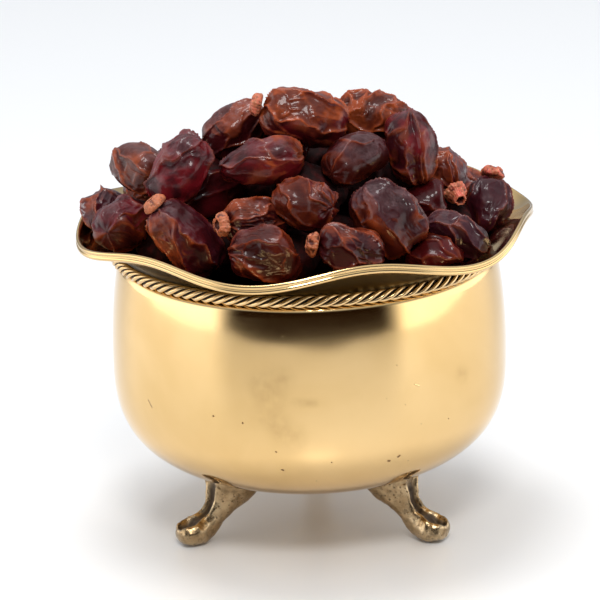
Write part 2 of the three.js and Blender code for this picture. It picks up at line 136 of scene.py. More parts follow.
# The caps' outlines from the seat to the inside of the hole, radius and height. A ring is a low
# collar, and a tube stands up out of its collar.
CAP_OUTLINES = {
    "ring": [
        (0.1, 0.1), (3.4, 0.1), (4.3, 0.5), (4.55, 1.6), (4.05, 3.0),
        (3.2, 4.0), (2.5, 4.25), (1.95, 3.9), (1.6, 2.7), (0.1, 2.2),
    ],
    "tube": [
        (0.1, 0.1), (3.0, 0.1), (4.5, 0.4), (4.8, 1.3), (4.2, 2.5),
        (3.3, 3.1), (2.75, 4.2), (2.6, 6.4), (2.3, 7.2), (1.75, 7.0),
        (1.45, 5.8), (1.35, 4.7), (0.1, 4.4),
    ],
}
CAP_SIDES = 56


def dried_as(lay, panels, deep, fine, purple, flush, amber, **sides):
    """How a date dried.

    lay is the way its folds run, in degrees off its length. panels counts the sunken places, deep is
    their depth in millimetres, and fine the strength of the small wrinkles, which gather on the side
    that rough points to. purple and flush tint the sunken skin. warm and the film are each a
    direction and a share: warm is the side with brown skin, as light as amber and pale say, and the
    film the side with a dry greyish film, which on the upper side also stands for painted sheen.
    """
    shares = {"purple": purple, "flush": flush, "amber": amber}
    return {"lay": lay, "panels": panels, "deep": deep, "fine": fine, **shares, **sides}


CHARACTERS = {
    "date_01": dried_as(10, 9, 1.7, 0.5, 0.9, 0.1, 0.6, warm=(-1, 0, 0.3, -0.35), film=(-0.3, 0, 1, -0.25)),
    "date_02": dried_as(
        30, 9, 1.5, 0.5, 0.6, 0.6, 0.2, warm=(0.3, -0.3, -1, -0.05), film=(-0.4, 0, 1, -0.3)
    ),
    "date_03": dried_as(
        15, 6, 0.8, 0.4, 0, 0, 0.35, pale=0.6, rough=(-0.6, -0.5, -0.6),
        warm=(-1, -0.3, -0.2, 1.1), film=(0.4, 0, 1, -0.25),
    ),
    "date_04": dried_as(20, 8, 2.4, 0.5, 0.5, 0.9, 0, rough=(0, 0, 1), film=(-0.2, 0, 1, -0.05)),
    "date_05": dried_as(
        8, 9, 1.9, 0.4, 0.7, 0.3, 0.55, warm=(-0.8, -0.2, -0.5, -0.3), film=(-0.4, -0.3, 1, -0.3)
    ),
    "date_06": dried_as(
        20, 9, 1.8, 0.6, 0.3, 0.1, 0.35, warm=(-0.2, 0, 1, -0.45), film=(-0.4, -0.2, 0.7, -0.2)
    ),
    "date_07": dried_as(4, 6, 1.9, 0.35, 0.2, 0.6, 0.7, warm=(1, -0.3, 1, -0.8), film=(0, 0.2, 1, -0.15)),
    "date_08": dried_as(12, 9, 2.3, 0.4, 0.2, 0.5, 0.9, warm=(0, 0, 1, 0.05), film=(0.2, 0, 1, -0.7)),
    "date_09": dried_as(
        60, 11, 1.9, 0.5, 0, 0.2, 0.7, rough=(0.2, 0, 1), warm=(-0.4, -0.2, 0.6, 0.3), film=(0, 0, 1, -0.6)
    ),
    "date_10": dried_as(
        30, 5, 0.7, 0.35, 0.2, 0, 0.15, warm=(-0.4, -0.5, -0.4, -0.1), film=(0.5, 0, 1, -0.2)
    ),
    "date_11": dried_as(
        5, 12, 1.8, 0.4, 0.5, 0.8, 0.5, warm=(0.2, -0.2, -1, -0.2), film=(0.1, 0, 1, -0.35)
    ),
    "date_12": dried_as(
        10, 9, 1.8, 0.5, 0.5, 0.3, 0.65, warm=(-0.5, -0.2, 0.2, 0.1), film=(0.6, 0, 1, -0.4)
    ),
    "date_13": dried_as(
        45, 14, 1.8, 0.8, 0, 0.4, 0.3, rough=(1, 0, 0.3), warm=(-1, 0, 0.2, 0.1), film=(0.6, 0, 1, -0.45)
    ),
    "date_14": dried_as(0, 12, 1.4, 0.9, 0.3, 0, 0.35, warm=(0, 0, 1, -0.4), film=(0, 0, 1, -0.6)),
    "date_15": dried_as(
        20, 7, 1.1, 0.8, 0, 0.3, 0.12, rough=(-1, -0.3, 0),
        warm=(0.8, -0.3, 0, 0.35), film=(-0.3, 0, 1, -0.6),
    ),
    "date_16": dried_as(25, 14, 1.7, 0.9, 0.4, 0, 0.3, warm=(0.2, 0, 1, -0.65), film=(0, 0, 1, -0.6)),
    "date_17": dried_as(
        12, 9, 1.9, 0.6, 0.5, 0, 0.35, rough=(0, 0, 1), warm=(0, -0.5, -1, -0.15), film=(-0.2, 0, 1, -0.1)
    ),
    "date_18": dried_as(15, 11, 1.7, 0.5, 1.0, 0, 0.2, film=(-0.2, -0.2, 1, -0.25)),
    "date_19": dried_as(
        10, 10, 1.8, 0.5, 0.9, 0.1, 0.3, warm=(-0.7, -0.3, -1, -0.55), film=(0, 0, 1, -0.5)
    ),
    "date_20": dried_as(20, 9, 1.2, 0.5, 0, 0.3, 0.1),
    "date_21": dried_as(20, 8, 1.0, 0.4, 0.3, 0.3, 0),
    "date_22": dried_as(15, 9, 1.2, 0.5, 0.2, 0.2, 0),
    "date_23": dried_as(25, 9, 1.2, 0.5, 0.1, 0.3, 0),
}
# How many rays measure a CAD date
PROBES = 420
# How much fuller a date's ends are than its plain body, and from where to where along half its
# length that comes on
BLUNT = 0.2
BLUNT_FROM_TO = (0.42, 0.86)
# How far from a large and a small fold the skin has sunk most of its depth, in millimetres, and
# how many small panels there are to a large one
BIG_FOLD = 2.6
SMALL_FOLD = 1.0
SMALL_PER_BIG = 6
# The seed of the looks of the dates that the picture doesn't show
FAR_SEED = 77
# The remeshing step of the joined dates, in millimetres
HIDDEN_STEPS = {"dates_core": 1.3, "dates_inside_1": 2.0, "dates_inside_2": 2.6, "dates_inside_3": 2.6}

# Outline, pinkness, and how crumpled each cap is
CAPS = {
    "date_05_cap": ("ring", 0.1, 0.4),
    "date_08_cap": ("ring", 0.6, 0.6),
    "date_12_cap": ("tube", 0.9, 0.5),
    "date_14_cap": ("ring", 0.2, 0.7),
    "date_16_cap": ("ring", 0.3, 1.2),
    "date_19_cap": ("ring", 0.9, 1.4),
}
FAR_CAP = ("tube", 0.5, 0.6)

# Marks on the front of the body: where each starts and ends, in degrees from the front and
# millimetres above the table, and how wide it is
PITS = [
    ((-10.5, 56.9), (-10.3, 56.7), 0.3),
    ((-9.2, 48.5), (-8.9, 48.3), 0.45),
    ((22.4, 49.4), (22.8, 49.2), 0.5),
    ((25.5, 50.5), (25.8, 50.8), 0.55),
    ((-19.6, 68.3), (-19.5, 68.2), 0.3),
    ((-28.5, 69.6), (-28.4, 69.5), 0.38),
    ((-53.4, 69.0), (-51.8, 66.6), 0.26),
    ((5.2, 51.8), (5.3, 51.6), 0.25),
    ((42.0, 61.8), (42.2, 61.7), 0.22),
]
SMUDGES = [
    ((-13.6, 79.6), (-9.4, 78.8), 3.6),
    ((-13.0, 71.4), (-10.4, 70.6), 4.4),
    ((-4.2, 77.4), (0.6, 77.0), 1.6),
    ((-15.0, 84.5), (-8.0, 86.5), 4.2),
    ((-8.5, 65.0), (-5.5, 63.0), 4.6),
    ((47.0, 79.0), (48.5, 77.5), 2.6),
]
SCRATCHES = [
    ((-19.8, 99.5), (-21.4, 96.0), 0.5),
    ((-21.4, 96.0), (-21.8, 92.6), 0.4),
    ((20.6, 108.0), (23.4, 101.8), 0.5),
    ((41.0, 88.6), (50.0, 91.4), 0.16),
    ((30.0, 79.6), (31.4, 78.6), 0.22),
]

# The camera's sensor, in millimetres
SENSOR = 36
# The table's left, front, right and back edges and each light's place and size, in metres, and
# the light's power in watts and its tint
TABLE = (-1.0, -1.05, 1.0, 2.4)
SOFTBOXES = {
    "softbox_top": ((-0.15, 0.1, 2.2), (0.7, 0.7), 22.0, (1.0, 1.0, 1.0)),
    "softbox_front": ((0.1, -1.5, 1.7), (0.6, 0.4), 17.0, (1.0, 0.99, 0.97)),
}
LIGHTS_AIM = (0, 0, 0.1)
# The room's light: low down, high up, from the bright walls at the sides, and from the dark front
ROOM_LOW = (0.41, 0.44, 0.48)
ROOM_HIGH = (0.86, 0.89, 0.93)
ROOM_WALLS = (2.4, 2.4, 2.4)
ROOM_DARK = (0.018, 0.008, 0.002)


def unit(vectors):
    return vectors / np.maximum(np.linalg.norm(vectors, axis=-1, keepdims=True), 1e-12)


class Noise:
    """Smooth noise in space, about -1 to 1, always the same for the same seed."""

    SIDE = 16

    def __init__(self, seed):
        self.slopes = unit(np.random.default_rng(seed).normal(size=(self.SIDE, self.SIDE, self.SIDE, 3)))

    def __call__(self, points):
        base = np.floor(points).astype(int)
        part = points - base
        fade = part**3 * (part * (part * 6 - 15) + 10)
        total = np.zeros(len(points))
        for corner in itertools.product((0, 1), repeat=3):
            at = (base + corner) % self.SIDE
            slope = self.slopes[at[:, 0], at[:, 1], at[:, 2]]
            weight = np.prod(np.where(corner, fade, 1 - fade), axis=1)
            total += weight * ((part - corner) * slope).sum(axis=1)
        return total * 1.7

    def folds(self, points):
        """Sharp crests of 1 where the noise crosses zero, falling to 0."""
        return 1 - np.clip(np.abs(self(points)) * 2.2, 0, 1)


NOISE = Noise(11)
SECOND_NOISE = Noise(12)


def smoothstep(low, high, value):
    share = np.clip((value - low) / (high - low), 0, 1)
    return share * share * (3 - 2 * share)


def hump(value, middle, reach):
    """1 at the middle, falling to 0 on both sides."""
    return np.exp(-(((value - middle) / reach) ** 2))


def through(points, steps):
    """A smooth line through the points."""
    points = np.asarray(points, float)
    held = np.vstack([2 * points[0] - points[1], points, 2 * points[-1] - points[-2]])
    t = np.linspace(0, 1, steps, endpoint=False)[:, None]
    parts = []
    for a, b, c, d in zip(held, held[1:], held[2:], held[3:]):
        bend = (2 * a - 5 * b + 4 * c - d) * t**2 / 2
        parts.append(b + (c - a) * t / 2 + bend + (3 * (b - c) + d - a) * t**3 / 2)
    return np.vstack([*parts, points[-1:]])


def even(points, spacing):
    """The same line with its points at an even spacing."""
    points = np.asarray(points, float)
    distance = np.concatenate([[0], np.cumsum(np.linalg.norm(np.diff(points, axis=0), axis=1))])
    places = np.linspace(0, distance[-1], max(2, round(distance[-1] / spacing) + 1))
    return np.column_stack([np.interp(places, distance, points[:, k]) for k in range(points.shape[1])])


def full_turn(steps):
    return np.linspace(0, 2 * math.pi, steps, endpoint=False)


def round_axis(radius, angle, height):
    """Points at an angle from the front, as one row of points for each row of radius and height."""
    x = radius * np.sin(angle)
    return np.stack([x, -radius * np.cos(angle), height + 0 * x], axis=2)


def band(value, first, rises, falls, last):
    """0 up to first, 1 from rises to falls, and 0 from last on."""
    return smoothstep(first, rises, value) * smoothstep(last, falls, value)


def arc(centre, radius, turn, steps=12):
    angles = np.radians(np.linspace(*turn, steps))
    return np.column_stack([centre[0] + radius * np.cos(angles), centre[1] + radius * np.sin(angles)])


def loft_faces(rings, around, ends=True, endless=False):
    """Faces between rings of points. With ends, one more point at each end closes the body."""
    k = np.arange(around)
    following = (k + 1) % around
    faces = []
    for i in range(rings if endless else rings - 1):
        low = i * around
        high = ((i + 1) % rings) * around
        faces.append(np.column_stack([low + k, low + following, high + following, high + k]))
    quads = np.vstack(faces).tolist()
    if ends:
        first = rings * around
        last = (rings - 1) * around
        quads += np.column_stack([np.full(around, first), following, k]).tolist()
        quads += np.column_stack([np.full(around, first + 1), last + k, last + following]).tolist()
    return quads


def crossed(points, quads):
    """The cross product of each face's diagonals."""
    corners = points[quads]
    return np.cross(corners[:, 2] - corners[:, 0], corners[:, 3] - corners[:, 1])


def vertex_normals(points, quads):
    across = crossed(points, quads)
    normals = np.zeros_like(points)
    for k in range(4):
        np.add.at(normals, quads[:, k], across)
    return unit(normals)


def make_piece(name, points, faces, finish, slot, replaced, **attributes):
    """A smooth mesh from points in millimetres, riding on the bowl in place of the CAD nodes."""
    mesh = bpy.data.meshes.new(name)
    faces = faces if isinstance(faces, list) else faces.tolist()
    mesh.from_pydata((np.asarray(points) * MM).tolist(), [], faces)
    mesh.shade_smooth()
    for key, values in attributes.items():
        mesh.attributes.new(key, "FLOAT", "POINT").data.foreach_set("value", np.asarray(values, np.float32))
    mesh.materials.append(finish)
    piece = bpy.data.objects.new(name, mesh)
    bpy.context.scene.collection.objects.link(piece)
    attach(piece, "root")
    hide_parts(*replaced)
    return piece


def triples(vertices, field):
    values = np.empty(len(vertices) * 3)
    vertices.foreach_get(field, values)
    return values.reshape(-1, 3)


def points_and_faces(mesh):
    """A mesh's vertices, in millimetres, and faces."""
    return triples(mesh.vertices, "co") / MM, [tuple(face.vertices) for face in mesh.polygons]


def node_points(name):
    return points_and_faces(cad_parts[name].data)


class Channel:
    """A number that varies over a surface. Sums and products of it add Math nodes."""

    def __init__(self, finish, socket):
        self.finish = finish
        self.socket = socket

    def math(self, operation, *others, clamp=False):
        sockets = dict(enumerate([self, *others]))
        return self.finish.node("ShaderNodeMath", sockets, operation=operation, use_clamp=clamp)

    def __add__(self, other):
        return self.math("ADD", other)

    def __mul__(self, other):
        return self.math("MULTIPLY", other)

    def __sub__(self, other):
        return self.math("SUBTRACT", other)

    def __rsub__(self, other):
        return self.math("MULTIPLY_ADD", -1.0, other)

    def clamped(self):
        return self.math("ADD", 0.0, clamp=True)


class Finish:
    """The node tree of a material or of the surroundings."""

    def __init__(self, owner, colours=None):
        self.colours = colours
        owner.use_nodes = True
        self.tree = owner.node_tree
        self.tree.nodes.clear()

    def node(self, kind, sockets, output=0, **settings):
        node = self.tree.nodes.new(kind)
        for key, value in settings.items():
            setattr(node, key, value)
        for key, value in sockets.items():
            if isinstance(value, Channel):
                self.tree.links.new(value.socket, node.inputs[key])
            else:
                node.inputs[key].default_value = value
        return Channel(self, node.outputs[output]) if len(node.outputs) else node

    def vector(self, operation, *values, output=0):
        return self.node("ShaderNodeVectorMath", dict(enumerate(values)), output, operation=operation)

    def parts(self, vector):
        """A vector's three parts."""
        split = self.node("ShaderNodeSeparateXYZ", {0: vector})
        return [Channel(self, socket) for socket in split.socket.node.outputs]

    def place(self):
        return self.node("ShaderNodeTexCoord", {}, "Object")

    def attribute(self, name):
        return self.node("ShaderNodeAttribute", {}, "Fac", attribute_name=name)

    def noise(self, where, scale, detail=3.0, roughness=0.5, distortion=0.0):
        sockets = {"Vector": where, "Scale": scale, "Detail": detail, "Roughness": roughness}
        return self.node("ShaderNodeTexNoise", {**sockets, "Distortion": distortion})

    def cells(self, where, scale):
        return self.node("ShaderNodeTexVoronoi", {"Vector": where, "Scale": scale})

    def away(self, here, start, end):
        """Distance from the line between two places."""
        line = Vector(end) - Vector(start)
        moved = self.vector("SUBTRACT", here, start)
        dot = self.vector("DOT_PRODUCT", moved, line, output=1)
        share = dot.math("DIVIDE", max(line.length_squared, 1e-12), clamp=True)
        nearest = self.node("ShaderNodeVectorMath", {0: line, "Scale": share}, operation="SCALE")
        return self.vector("DISTANCE", moved, nearest, output=1)

    def step(self, value, low, high):
        """0 below low, 1 above high, and smooth between."""
        sockets = {"Value": value, "From Min": low, "From Max": high}
        return self.node("ShaderNodeMapRange", sockets, interpolation_type="SMOOTHSTEP")

    def blend(self, share, low, high):
        """From one colour to another, each a name in the settings, red, green and blue, or a channel."""

        def tint(value):
            if isinstance(value, str):
                value = colour(self.colours, value)
            return value if isinstance(value, Channel) else (*value, 1.0)

        sockets = {0: share, 6: tint(low), 7: tint(high)}
        return self.node("ShaderNodeMix", sockets, 2, data_type="RGBA", clamp_factor=True)

    def bump(self, height, distance, strength):
        return self.node("ShaderNodeBump", {"Height": height, "Distance": distance, "Strength": strength})

    def surface(self, **sockets):
        named = {key.replace("_", " "): value for key, value in sockets.items()}
        shader = self.node("ShaderNodeBsdfPrincipled", named)
        self.node("ShaderNodeOutputMaterial", {"Surface": shader})


def new_finish(name, colours):
    material = bpy.data.materials.new(name)
    return material, Finish(material, colours)


def colour(settings, name):
    return tuple(getattr(settings, name))


def mixed(low, high, share):
    return tuple(a + (b - a) * share for a, b in zip(low, high))


def body_size(sizes):
    """The body's widest radius and the height of that place, in millimetres."""
    return sizes.widest / MM, sizes.widest_height / MM


def on_body(sizes, degrees, height):
    """A place on the outside of the body, in metres."""
    widest, middle = body_size(sizes)
    radius = widest
    if height < middle:
        share = (middle - height) / (middle - BOTTOM)
        radius = widest * (1 - share**ROUNDNESS) ** (1 / ROUNDNESS)
    angle = math.radians(degrees)
    return Vector((radius * math.sin(angle), -radius * math.cos(angle), height)) * MM


def spun_brass(brass, sizes):
    """Satin brass, brushed round on the lathe under the rope, with pits, scratches and smudges."""
    material, finish = new_finish("spun_brass", brass)
    here = finish.place()
    x, y, _ = finish.parts(finish.vector("NORMALIZE", finish.vector("MULTIPLY", here, (1, 1, 0))))
    along = finish.attribute("along")
    shoulder = finish.attribute("shoulder")
    crevice = finish.attribute("crevice")
    lathe = finish.node("ShaderNodeCombineXYZ", {0: x * 0.5, 1: y * 0.5, 2: along * 1.1})
    brushed = finish.noise(lathe, 4.0, 3.0, 0.6)
    cloud = finish.noise(here, 16.0, 4.0, 0.55, 0.4)
    ragged = finish.noise(here, 190.0, 4.0, 0.6)

    def marks(places, soft):
        total = 0.0
        for start, end, width in places:
            gap = finish.away(here, on_body(sizes, *start), on_body(sizes, *end))
            gap = gap * (ragged * 1.2 + 0.4)
            total = finish.step(gap, width * MM * (1 + soft), width * MM * (1 - soft)) + total
        return total.clamped()

    pits = marks(PITS, 0.5)
    scratch = marks(SCRATCHES, 0.6)
    smudge = marks(SMUDGES, 0.98) * finish.step(ragged + cloud * 0.5, 0.35, 1.1)
    smudge = smudge + finish.step(finish.noise(here, 42.0, 4.0, 0.55, 0.8), 0.64, 0.85) * 0.4
    dots = finish.step(finish.cells(here, 150.0), 0.06, 0.03) * finish.step(cloud, 0.5, 0.62)
    tone = finish.blend(finish.step(cloud, 0.3, 0.7), "deep", "spun")
    tone = finish.blend(smudge * 0.45, tone, "smudge")
    tone = finish.blend((pits * 0.85 + dots * 0.6).clamped(), tone, "tarnish")
    # Under the mouth the sheet is darkened: partly tarnish, partly painted shade under the flare and round
    # the rope
    tone = finish.blend((crevice * (cloud * 0.5 + 0.65)).clamped(), tone, "crevice")
    rough = brushed * 0.03 + cloud * 0.05 + smudge * 0.05 + scratch * 0.2 + pits * 0.25
    rough = rough + crevice * 0.2 + 0.065
    height = brushed * (shoulder * 0.1 + 0.005) + cloud * 0.1 - pits * 1.6 - dots + scratch * 1.8
    finish.surface(
        Base_Color=tone,
        Metallic=1.0,
        Roughness=rough,
        Normal=finish.bump(height, 0.00008, 0.6),
    )
    return material


def rope_brass(brass):
    """Bright wire, darkened in the gaps between its strands with dirt and painted shade."""
    material, finish = new_finish("rope_brass", brass)
    here = finish.place()
    hollow = finish.attribute("hollow")
    grime = finish.noise(here, 500.0, 3.0)
    # Between the strands the wire is darkened: dirt together with painted shade
    darkening = finish.step(hollow + grime * 0.3, 0.35, 0.75)
    tone = finish.blend(darkening, "wire", "grime")
    finish.surface(
        Base_Color=tone,
        Metallic=1.0 - darkening * 0.5,
        Roughness=grime * 0.12 + darkening * 0.35 + 0.14,
        Normal=finish.bump(grime, 0.00008, 0.5),
    )
    return material


def cast_brass(brass):
    """Rough casting: worn bright on its rims, brown and pitted in its hollows."""
    material, finish = new_finish("cast_brass", brass)
    here = finish.place()
    hollow = finish.attribute("hollow")
    grain = finish.noise(here, 420.0, 6.0, 0.7)
    blotch = finish.noise(here, 110.0, 4.0, 0.6)
    pits = finish.step(finish.cells(here, 560.0), 0.27, 0.1) * finish.step(blotch, 0.38, 0.56)
    darkening = finish.step(hollow + blotch * 0.55 + pits * 0.2, 0.5, 0.98)
    tone = finish.blend(finish.step(blotch, 0.35, 0.7), "cast", "worn")
    tone = finish.blend(finish.step(grain, 0.47, 0.62) * 0.4, tone, "patina")
    tone = finish.blend(darkening * 0.95, tone, "patina")
    tone = finish.blend(pits * 0.6, tone, "grime")
    height = grain * 0.8 - pits * 1.6 + blotch
    finish.surface(
        Base_Color=tone,
        Metallic=1.0 - darkening * 0.55,
        Roughness=grain * 0.18 + darkening * 0.28 + 0.16,
        Normal=finish.bump(height, 0.00025, 0.8),
    )
    return material


def date_skin(name, skin, look):
    """Glossy dried skin: dark sunken panels with painted shade in their folds and crests lightened partly
    as painted highlights, brown on one side, and a dry film with painted sheen on the upper side.
    """
    material, finish = new_finish(name, skin)
    here = finish.place()
    crest = finish.attribute("crest")
    hollow = finish.attribute("hollow")
    warm = finish.attribute("warm")
    film = finish.attribute("film")
    patch = finish.noise(here, 95.0, 3.0, 0.55, 0.6)
    mottle = finish.noise(here, 520.0, 4.0, 0.6)
    speck = finish.noise(here, 1900.0, 2.0, 0.6)
    panel = mixed(colour(skin, "panel"), colour(skin, "purple"), look["purple"])
    flush = mixed(panel, colour(skin, "flush"), look["flush"])
    brown = mixed(colour(skin, "brown"), colour(skin, "amber"), look["amber"])
    brown = mixed(brown, colour(skin, "pale"), look.get("pale", 0))
    rust = mixed(brown, panel, 0.75)
    tone = finish.blend(finish.step(patch, 0.36, 0.62), panel, flush)
    browned = finish.blend(finish.step(patch + mottle * 0.4 + crest * 0.3, 0.62, 0.98), rust, brown)
    tone = finish.blend(warm, tone, browned)
    # Painted shade darkens the bottoms of the folds
    tone = finish.blend(finish.step(hollow + mottle * 0.3, 0.35, 1.15) * 0.75, tone, "shade")
    # Crests are lightened: partly lighter skin, partly painted highlight
    edge = finish.step(crest + mottle * 0.35, 0.5, 1.05) * (warm * 0.3 + 0.35)
    tone = finish.blend(edge, tone, mixed(brown, colour(skin, "amber"), 0.4))
    tone = finish.blend(finish.step(speck, 0.62, 0.8) * 0.15, tone, brown)
    # The film on the upper side is partly dry bloom and partly painted sheen of the light above
    dust_and_sheen = (film * finish.step(mottle + patch * 0.5, 0.5, 0.95)).clamped()
    tone = finish.blend(dust_and_sheen * 0.65, tone, "film")
    height = mottle * 1.0 + speck * 0.25
    finish.surface(
        Base_Color=tone,
        Roughness=mottle * 0.16 + dust_and_sheen * 0.15 + 0.28,
        Specular_IOR_Level=0.1,
        Subsurface_Weight=0.06,
        Subsurface_Radius=(1.0, 0.22, 0.12),
        Subsurface_Scale=0.002,
        Coat_Weight=0.3,
        Coat_Roughness=0.09,
        Normal=finish.bump(height, 0.0002, 0.5),
    )
    return material


def shaded_skin(skin):
    """Skin of the dates that lie in the shadow of the others, darkened with painted shadow."""
    material, finish = new_finish("shaded_skin", skin)
    mottle = finish.noise(finish.place(), 300.0, 3.0)
    tone = finish.blend(finish.step(mottle, 0.4, 0.7), "shade", "panel")
    sockets = {"Base_Color": tone, "Roughness": 0.75, "Specular_IOR_Level": 0.15}
    finish.surface(**sockets, Normal=finish.bump(mottle, 0.0003, 0.5))
    return material


def cap_skin(name, skin, pink):
    """Dry woody cap, pink to orange, with painted shade in its folds, and brown skin and painted shade
    round and down the hole.
    """
    material, finish = new_finish(name, skin)
    here = finish.place()
    hollow = finish.attribute("hollow")
    fibre = finish.noise(here, 900.0, 5.0, 0.65)
    blotch = finish.noise(here, 420.0, 4.0, 0.65)
    fresh = mixed(colour(skin, "cap_orange"), colour(skin, "cap_pink"), pink)
    tone = finish.blend(finish.step(blotch, 0.35, 0.65), "cap_orange", fresh)
    tone = finish.blend(finish.step(fibre, 0.52, 0.72) * 0.6, tone, "cap_pale")
    # Darker in the folds and down the hole: brown skin there, and painted shade
    stain_and_shade = finish.step(hollow + finish.step(blotch, 0.62, 0.4) * 0.3, 0.1, 0.8)
    tone = finish.blend(stain_and_shade, tone, "cap_dark")
    finish.surface(
        Base_Color=tone,
        Roughness=fibre * 0.2 + 0.42,
        Subsurface_Weight=0.1,
        Subsurface_Radius=(1.0, 0.4, 0.25),
        Subsurface_Scale=0.0015,
        Normal=finish.bump(fibre + blotch, 0.0003, 0.7),
    )
    return material


def bowl_section(widest, height):
    """The bowl's section from the middle of its underside to the lip and back down inside."""

    def body(out):
        angles = np.radians(np.linspace(0, 90, 400))
        across = np.sin(angles) ** (2 / ROUNDNESS)
        down = np.clip(np.cos(angles), 0, 1) ** (2 / ROUNDNESS)
        lower = np.column_stack([(widest + out) * across, height - (height - BOTTOM + out) * down])
        t = np.linspace(0, 1, 60)[1:]
        upper_radius = widest + out - t**2 * (widest - SHOULDER[0])
        upper = np.column_stack([upper_radius, height + t * (SHOULDER[1] - height)])
        return np.vstack([lower, upper])

    outside = body(0)
    neck = through([outside[-8], outside[-1], *NECK_TO_LIP], 10)[10:]
    beads = np.vstack([arc(**LOWER_BEAD), arc(**UPPER_BEAD)])
    inside = body(-WALL)[::-1]
    back = through(LIP_TO_NECK, 10)
    parts = [
        even(outside, SPACING["outside"])[1:-1],
        even(neck, SPACING["neck"])[:-1],
        even(beads, SPACING["beads"]),
        even(back, SPACING["back"]),
        even(inside, SPACING["inside"])[1:-1],
    ]
    return np.vstack(parts)


def waved(points):
    """The mouth's waves: none at the neck, all of them at the lip."""
    around = np.arctan2(points[:, 0], -points[:, 1])
    share = np.clip((points[:, 2] - WAVE_FROM) / (WAVE_TO - WAVE_FROM), 0, 1) ** WAVE_BEND
    turn = WAVE["lobes"] * (around - math.radians(WAVE["crest"]))
    rise = WAVE["rise"] * np.cos(turn) + WAVE["uneven"] * np.cos(WAVE["uneven_lobes"] * around)
    radius = np.hypot(points[:, 0], points[:, 1])
    scale = 1 - share * WAVE["draw"] * np.cos(turn) / np.maximum(radius, 1)
    return np.column_stack([points[:, 0] * scale, points[:, 1] * scale, points[:, 2] + share * rise])


def make_bowl(sizes, brass):
    section = bowl_section(*body_size(sizes))
    along = np.concatenate([[0], np.cumsum(np.linalg.norm(np.diff(section, axis=0), axis=1))])
    count = sizes.bowl_segments
    rings = round_axis(section[:, :1], full_turn(count), section[:, 1:])
    points = waved(rings.reshape(-1, 3))
    # A spun sheet is never quite true: long shallow swells in the wall
    swell = NOISE(points / 34.0) * 0.16 + SECOND_NOISE(points / 13.0) * 0.035
    outward = unit(points * (1, 1, 0))
    calm = smoothstep(20, 60, np.hypot(points[:, 0], points[:, 1]))
    points = points + outward * (swell * calm)[:, None]
    ends = [[0, 0, section[0, 1]], [0, 0, section[-1, 1]]]
    points = np.vstack([points, ends])
    faces = loft_faces(len(section), count)
    run = np.concatenate([np.repeat(along, count), [0, along[-1]]])
    up = np.concatenate([np.repeat(section[:, 1], count), section[[0, -1], 1]])
    outside = run < along[np.argmax(section[:, 0])]
    shares = {
        "along": run,
        "shoulder": band(up, *BRUSHED) * outside,
        # The band under the mouth that gets tarnish and painted shade
        "crevice": band(up, *TARNISHED_AND_SHADED) * outside,
    }
    make_piece("bowl_spun", points, faces, spun_brass(brass, sizes), "spun_brass", ["bowl"], **shares)


def make_rope(sizes, brass):
    """Strands twisted together along the neck, darkened between them with dirt and painted shade."""
    wire = sizes.rope_thickness / MM / 2
    strand = wire * STRAND_SHARE
    lead = wire - strand
    radius = sizes.rope_radius / MM
    height = sizes.rope_height / MM
    points = []
    hollows = []
    faces = []

    def tube(steps, sides, twist, start, lead, thick):
        angle = full_turn(steps)[:, None]
        side = full_turn(sides)[None, :]
        turn = twist * angle + start
        out = lead * np.cos(turn) + thick * np.cos(side)
        up = lead * np.sin(turn) + thick * np.sin(side)
        ring = round_axis(radius + out, angle, height + up)
        first = sum(len(part) for part in points)
        faces.extend([first + v for v in face] for face in loft_faces(steps, sides, False, True))
        points.append(ring.reshape(-1, 3))
        hollows.append((1 - smoothstep(0.5, 0.93, np.hypot(out, up) / wire)).ravel())

    turns = sizes.rope_turns
    for k in range(STRANDS):
        tube(turns * STRAND_STEPS, STRAND_SIDES, turns, 2 * math.pi * k / STRANDS, lead, strand)
    tube(CORE_STEPS, CORE_SIDES, 0, 0, 0, lead - 0.35 * strand)
    points = np.vstack(points)
    hollow = np.concatenate(hollows)
    make_piece("rope_twisted", points, faces, rope_brass(brass), "rope_brass", ["rope_ring"], hollow=hollow)


def underside(radius, widest, height):
    """Height of the body's underside at a distance from the axis."""
    share = np.clip(radius / widest, 0, 1) ** (ROUNDNESS / 2)
    return height - (height - BOTTOM) * (1 - share**2) ** (1 / ROUNDNESS)


